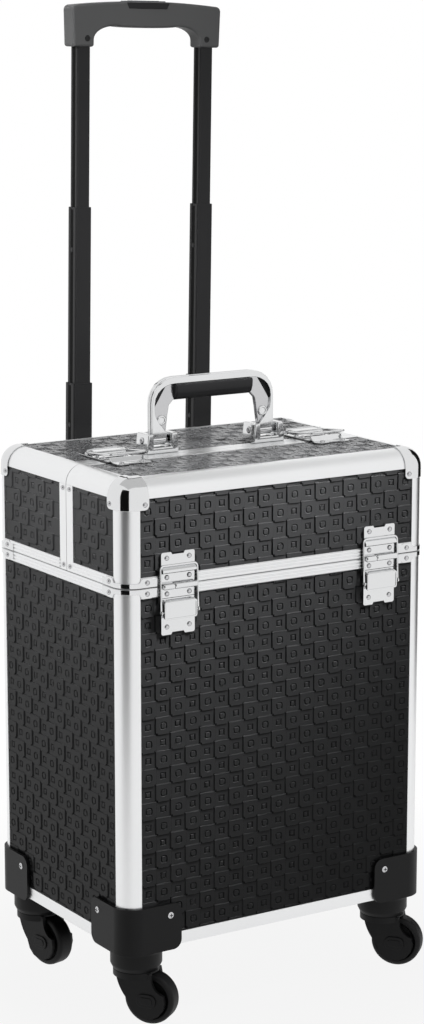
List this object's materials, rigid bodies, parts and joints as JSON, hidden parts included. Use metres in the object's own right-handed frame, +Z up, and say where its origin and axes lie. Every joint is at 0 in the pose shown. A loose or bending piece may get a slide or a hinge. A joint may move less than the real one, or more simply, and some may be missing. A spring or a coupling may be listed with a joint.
{
  "type": "rolling makeup case",
  "caption": "Upright hard-sided makeup case with a two-leaf top, latches, a carry handle, a telescopic trolley handle and swivel casters, for wheeling cosmetics about.",
  "frame": {"origin": "on the floor under the middle of the case", "axes": "+Z up, -Y towards the front face with the latches, +X to the right seen from the front"},
  "size_m": [0.3496, 0.2801, 0.9448],
  "materials": {
    "black_panel": "satin, embossed with small squares",
    "aluminium_edge": "satin anodised",
    "chrome_fitting": "polished",
    "black_plastic": "fine matte texture",
    "grey_plastic": "matte",
    "black_tube": "satin black",
    "caster_tyre": "matte"
  },
  "bodies": {
    "case_body": {"body_front_panel": "black_panel", "body_back_panel": "black_panel", "body_side_panels": "black_panel", "body_floor": "black_panel", "body_corner_posts": "aluminium_edge", "body_rim": "aluminium_edge", "body_bottom_rails": "aluminium_edge", "body_corner_plates": "chrome_fitting", "body_rivets": "chrome_fitting", "foot_brackets": "black_plastic", "bracket_screws": "chrome_fitting", "front_latch_bases": "chrome_fitting", "front_hinge_pins": "chrome_fitting", "rear_hinge_lower_leaves": "chrome_fitting", "trolley_outer_tubes": "black_tube", "trolley_mounts": "black_plastic"},
    "front_lid": {"front_lid_front_panel": "black_panel", "front_lid_top_panel": "black_panel", "front_lid_side_panels": "black_panel", "front_lid_frame": "aluminium_edge", "front_lid_corner_caps": "chrome_fitting", "front_lid_rivets": "chrome_fitting", "front_latch_strikes": "chrome_fitting", "top_latch_strikes": "chrome_fitting"},
    "rear_lid": {"rear_lid_back_panel": "black_panel", "rear_lid_top_panel": "black_panel", "rear_lid_side_panels": "black_panel", "rear_lid_frame": "aluminium_edge", "rear_lid_corner_caps": "chrome_fitting", "rear_lid_rivets": "chrome_fitting", "rear_hinge_upper_leaves": "chrome_fitting", "rear_hinge_pins": "chrome_fitting", "top_latch_bases": "chrome_fitting", "handle_feet": "chrome_fitting"},
    "carry_handle": {"carry_handle_frame": "chrome_fitting", "carry_handle_grip": "black_plastic"},
    "front_latch_left_lever": {"front_latch_left_lever": "chrome_fitting"},
    "front_latch_left_bail_pin": {"front_latch_left_bail_pin": "chrome_fitting"},
    "front_latch_left_bail": {"front_latch_left_bail": "chrome_fitting"},
    "front_latch_right_lever": {"front_latch_right_lever": "chrome_fitting"},
    "front_latch_right_bail_pin": {"front_latch_right_bail_pin": "chrome_fitting"},
    "front_latch_right_bail": {"front_latch_right_bail": "chrome_fitting"},
    "top_latch_left_lever": {"top_latch_left_lever": "chrome_fitting"},
    "top_latch_left_bail": {"top_latch_left_bail": "chrome_fitting"},
    "top_latch_right_lever": {"top_latch_right_lever": "chrome_fitting"},
    "top_latch_right_bail": {"top_latch_right_bail": "chrome_fitting"},
    "trolley_lower": {"trolley_lower_tubes": "black_tube"},
    "trolley_middle": {"trolley_middle_tubes": "black_tube"},
    "trolley_upper": {"trolley_upper_tubes": "black_tube", "trolley_grip": "black_plastic"},
    "release_button": {"grip_button": "grey_plastic"},
    "caster_front_left_fork": {"caster_front_left_fork": "black_plastic"},
    "caster_front_left_wheel": {"caster_front_left_wheel": "caster_tyre"},
    "caster_front_right_fork": {"caster_front_right_fork": "black_plastic"},
    "caster_front_right_wheel": {"caster_front_right_wheel": "caster_tyre"},
    "caster_rear_left_fork": {"caster_rear_left_fork": "black_plastic"},
    "caster_rear_left_wheel": {"caster_rear_left_wheel": "caster_tyre"},
    "caster_rear_right_fork": {"caster_rear_right_fork": "black_plastic"},
    "caster_rear_right_wheel": {"caster_rear_right_wheel": "caster_tyre"}
  },
  "joints": [
    {"name": "front_lid_hinge", "type": "hinge", "parent": "case_body", "child": "front_lid", "pos_m": [0, -0.1266, 0.422], "axis": [1, 0, 0], "range_deg": [0, 100]},
    {"name": "rear_lid_hinge", "type": "hinge", "parent": "case_body", "child": "rear_lid", "pos_m": [0, 0.1266, 0.422], "axis": [-1, 0, 0], "range_deg": [0, 2]},
    {"name": "carry_handle_hinge", "type": "hinge", "parent": "rear_lid", "child": "carry_handle", "pos_m": [0, -0.001, 0.534], "axis": [1, 0, 0], "range_deg": [-80, 80]},
    {"name": "front_latch_left_lever_hinge", "type": "hinge", "parent": "case_body", "child": "front_latch_left_lever", "pos_m": [-0.113, -0.126, 0.407], "axis": [1, 0, 0], "range_deg": [-110, 0]},
    {"name": "front_latch_left_bail_pin_hinge", "type": "hinge", "parent": "front_latch_left_lever", "child": "front_latch_left_bail_pin", "pos_m": [-0.113, -0.1264, 0.398], "axis": [1, 0, 0], "range_deg": [0, 110]},
    {"name": "front_latch_left_bail_hinge", "type": "hinge", "parent": "front_latch_left_bail_pin", "child": "front_latch_left_bail", "pos_m": [-0.113, -0.1264, 0.398], "axis": [1, 0, 0], "range_deg": [0, 70]},
    {"name": "front_latch_right_lever_hinge", "type": "hinge", "parent": "case_body", "child": "front_latch_right_lever", "pos_m": [0.113, -0.126, 0.407], "axis": [1, 0, 0], "range_deg": [-110, 0]},
    {"name": "front_latch_right_bail_pin_hinge", "type": "hinge", "parent": "front_latch_right_lever", "child": "front_latch_right_bail_pin", "pos_m": [0.113, -0.1264, 0.398], "axis": [1, 0, 0], "range_deg": [0, 110]},
    {"name": "front_latch_right_bail_hinge", "type": "hinge", "parent": "front_latch_right_bail_pin", "child": "front_latch_right_bail", "pos_m": [0.113, -0.1264, 0.398], "axis": [1, 0, 0], "range_deg": [0, 70]},
    {"name": "top_latch_left_lever_hinge", "type": "hinge", "parent": "rear_lid", "child": "top_latch_left_lever", "pos_m": [-0.113, -0.003, 0.526], "axis": [1, 0, 0], "range_deg": [0, 50]},
    {"name": "top_latch_left_bail_hinge", "type": "hinge", "parent": "top_latch_left_lever", "child": "top_latch_left_bail", "pos_m": [-0.113, 0.006, 0.5264], "axis": [-1, 0, 0], "range_deg": [0, 210]},
    {"name": "top_latch_right_lever_hinge", "type": "hinge", "parent": "rear_lid", "child": "top_latch_right_lever", "pos_m": [0.113, -0.003, 0.526], "axis": [1, 0, 0], "range_deg": [0, 50]},
    {"name": "top_latch_right_bail_hinge", "type": "hinge", "parent": "top_latch_right_lever", "child": "top_latch_right_bail", "pos_m": [0.113, 0.006, 0.5264], "axis": [-1, 0, 0], "range_deg": [0, 210]},
    {"name": "trolley_lower_slide", "type": "slide", "parent": "case_body", "child": "trolley_lower", "axis": [0.0166, 0, 0.9999], "range_m": [-0.16, 0]},
    {"name": "trolley_middle_slide", "type": "slide", "parent": "trolley_lower", "child": "trolley_middle", "axis": [0.0166, 0, 0.9999], "range_m": [-0.168, 0]},
    {"name": "trolley_upper_slide", "type": "slide", "parent": "trolley_middle", "child": "trolley_upper", "axis": [0.0166, 0, 0.9999], "range_m": [-0.15, 0]},
    {"name": "release_button_slide", "type": "slide", "parent": "trolley_upper", "child": "release_button", "axis": [-0.0166, 0, -0.9999], "range_m": [0, 0.004], "stiffness_N_per_m": 300, "springref_m": -0.001},
    {"name": "caster_front_left_swivel", "type": "hinge", "parent": "case_body", "child": "caster_front_left_fork", "pos_m": [-0.1427, -0.0947, 0.053], "axis": [0, 0, 1], "continuous": true},
    {"name": "caster_front_left_spin", "type": "hinge", "parent": "caster_front_left_fork", "child": "caster_front_left_wheel", "pos_m": [-0.13352, -0.10781, 0.025], "axis": [0.8192, 0.5736, 0], "continuous": true},
    {"name": "caster_front_right_swivel", "type": "hinge", "parent": "case_body", "child": "caster_front_right_fork", "pos_m": [0.1427, -0.0947, 0.053], "axis": [0, 0, 1], "continuous": true},
    {"name": "caster_front_right_spin", "type": "hinge", "parent": "caster_front_right_fork", "child": "caster_front_right_wheel", "pos_m": [0.15299, -0.10696, 0.025], "axis": [0.766, 0.6428, 0], "continuous": true},
    {"name": "caster_rear_left_swivel", "type": "hinge", "parent": "case_body", "child": "caster_rear_left_fork", "pos_m": [-0.1427, 0.0947, 0.053], "axis": [0, 0, 1], "continuous": true},
    {"name": "caster_rear_left_spin", "type": "hinge", "parent": "caster_rear_left_fork", "child": "caster_rear_left_wheel", "pos_m": [-0.1391, 0.07911, 0.025], "axis": [0.9744, 0.225, 0], "continuous": true},
    {"name": "caster_rear_right_swivel", "type": "hinge", "parent": "case_body", "child": "caster_rear_right_fork", "pos_m": [0.1427, 0.0947, 0.053], "axis": [0, 0, 1], "continuous": true},
    {"name": "caster_rear_right_spin", "type": "hinge", "parent": "caster_rear_right_fork", "child": "caster_rear_right_wheel", "pos_m": [0.14971, 0.08032, 0.025], "axis": [0.8988, 0.4384, 0], "continuous": true}
  ],
  "couplings": [
    {"joint": "front_latch_left_bail_pin_hinge", "follows": "front_latch_left_lever_hinge", "ratio": -1},
    {"joint": "front_latch_left_bail_hinge", "follows": "front_lid_hinge", "ratio": 0.7},
    {"joint": "front_latch_right_bail_pin_hinge", "follows": "front_latch_right_lever_hinge", "ratio": -1},
    {"joint": "front_latch_right_bail_hinge", "follows": "front_lid_hinge", "ratio": 0.7},
    {"joint": "top_latch_left_lever_hinge", "follows": "front_lid_hinge", "ratio": 0.5},
    {"joint": "top_latch_left_bail_hinge", "follows": "front_lid_hinge", "ratio": 2.1},
    {"joint": "top_latch_right_lever_hinge", "follows": "front_lid_hinge", "ratio": 0.5},
    {"joint": "top_latch_right_bail_hinge", "follows": "front_lid_hinge", "ratio": 2.1}
  ]
}
